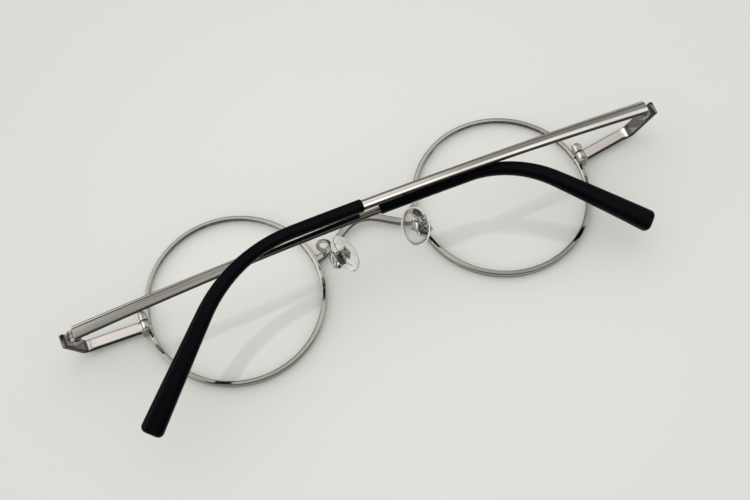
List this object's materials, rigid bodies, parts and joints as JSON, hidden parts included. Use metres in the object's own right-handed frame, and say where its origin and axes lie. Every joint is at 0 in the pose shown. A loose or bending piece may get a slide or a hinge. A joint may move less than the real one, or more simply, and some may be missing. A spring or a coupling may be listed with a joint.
{
  "type": "round eyeglasses",
  "caption": "Folded round metal eyeglasses with a saddle bridge, hinged temples, black curved tips and clear nose pads on wire arms.",
  "frame": {"origin": "middle of the outline on the surface that the fronts of the rims lie on", "axes": "+X across the face from the left to the right lens, as seen from behind, +Y up the lenses, +Z from the lenses back toward the wearer"},
  "size_m": [0.1416, 0.0494, 0.0227],
  "materials": {
    "polished_nickel_silver": "polished nickel silver with fine polishing marks",
    "screw_steel": "turned stainless steel",
    "lens_glass": "clear, polished, thin",
    "clear_silicone": "clear soft silicone, slightly milky",
    "black_acetate": "black acetate, satin gloss with handling marks"
  },
  "bodies": {
    "front": {"rim_left": "polished_nickel_silver", "rim_right": "polished_nickel_silver", "lens_left": "lens_glass", "lens_right": "lens_glass", "bridge": "polished_nickel_silver", "closing_block_upper_left": "polished_nickel_silver", "closing_block_upper_right": "polished_nickel_silver", "closing_block_lower_left": "polished_nickel_silver", "closing_block_lower_right": "polished_nickel_silver", "closing_screw_left": "screw_steel", "closing_screw_right": "screw_steel", "endpiece_left": "polished_nickel_silver", "endpiece_right": "polished_nickel_silver", "hinge_front_leaf_left": "polished_nickel_silver", "hinge_front_leaf_right": "polished_nickel_silver", "hinge_screw_left": "screw_steel", "hinge_screw_right": "screw_steel", "pad_arm_left": "polished_nickel_silver", "pad_arm_right": "polished_nickel_silver", "pad_box_left": "polished_nickel_silver", "pad_box_right": "polished_nickel_silver", "pad_screw_left": "screw_steel", "pad_screw_right": "screw_steel"},
    "left_temple": {"temple_left": "polished_nickel_silver", "temple_tip_left": "black_acetate", "hinge_temple_leaf_left": "polished_nickel_silver"},
    "right_temple": {"temple_right": "polished_nickel_silver", "temple_tip_right": "black_acetate", "hinge_temple_leaf_right": "polished_nickel_silver"},
    "left_pad": {"nose_pad_left": "clear_silicone", "pad_core_left": "polished_nickel_silver"},
    "right_pad": {"nose_pad_right": "clear_silicone", "pad_core_right": "polished_nickel_silver"}
  },
  "joints": [
    {"name": "left_temple_fold", "type": "hinge", "parent": "front", "child": "left_temple", "pos_m": [-0.0677, 0.00439, 0.0124], "axis": [0, -0.9848, -0.1736], "range_deg": [0, 90]},
    {"name": "right_temple_fold", "type": "hinge", "parent": "front", "child": "right_temple", "pos_m": [0.0677, 0.00539, 0.0128], "axis": [0, 0.9848, 0.1736], "range_deg": [0, 86.1]},
    {"name": "left_pad_rock", "type": "hinge", "parent": "front", "child": "left_pad", "pos_m": [-0.00976, -0.00191, 0.01432], "axis": [0.6428, 0, -0.766], "range_deg": [-8, 8]},
    {"name": "right_pad_rock", "type": "hinge", "parent": "front", "child": "right_pad", "pos_m": [0.00976, -0.00191, 0.01432], "axis": [-0.6428, 0, -0.766], "range_deg": [-8, 8]}
  ]
}
